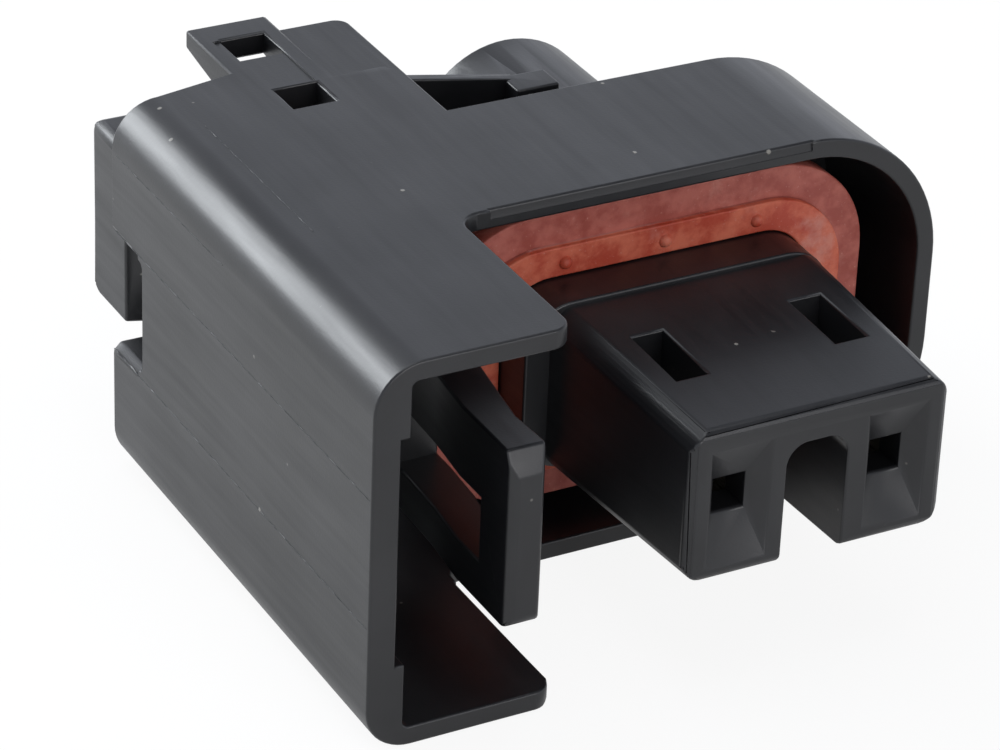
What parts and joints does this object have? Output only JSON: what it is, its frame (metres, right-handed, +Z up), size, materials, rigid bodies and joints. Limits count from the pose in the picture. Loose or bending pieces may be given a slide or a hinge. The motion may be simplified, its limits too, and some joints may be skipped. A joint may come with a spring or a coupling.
{
  "type": "sealed cable connector",
  "caption": "Sealed two-way cable connector housing: side lock lever, oval shroud with perimeter seal, slotted nose with receptacle terminals and rear cable seals.",
  "frame": {"origin": "middle of the housing's underside, at the centre of the overall box in X and Y", "axes": "+X across the body from the lock box to the shroud's free side, +Y back from the mating face to the wire towers, +Z up from the flat underside"},
  "size_m": [0.0294, 0.0308, 0.016],
  "materials": {
    "housing_nylon": "black glass-filled nylon, satin moulded surface with fine drag lines",
    "lever_nylon": "black glass-filled nylon, fine grained",
    "carrier_nylon": "black glass-filled nylon, satin with fine flow lines",
    "seal_silicone": "rust red silicone, dull and dusty, as moulded",
    "tinned_copper": "tin-plated copper strip, stamped and formed",
    "cable_seal_silicone": "rust red silicone, as moulded"
  },
  "bodies": {
    "housing": {"outer_housing": "housing_nylon", "terminal_carrier": "carrier_nylon", "perimeter_seal": "seal_silicone", "terminal_left": "tinned_copper", "terminal_right": "tinned_copper", "cable_seal_left": "cable_seal_silicone", "cable_seal_right": "cable_seal_silicone"},
    "lever": {"lock_lever": "lever_nylon"}
  },
  "joints": [
    {"name": "lever_press", "type": "hinge", "parent": "housing", "child": "lever", "pos_m": [-0.00815, 0.0003, 0.008], "axis": [0, 0, -1], "range_deg": [0, 7], "stiffness_Nm_per_rad": 0.05}
  ]
}
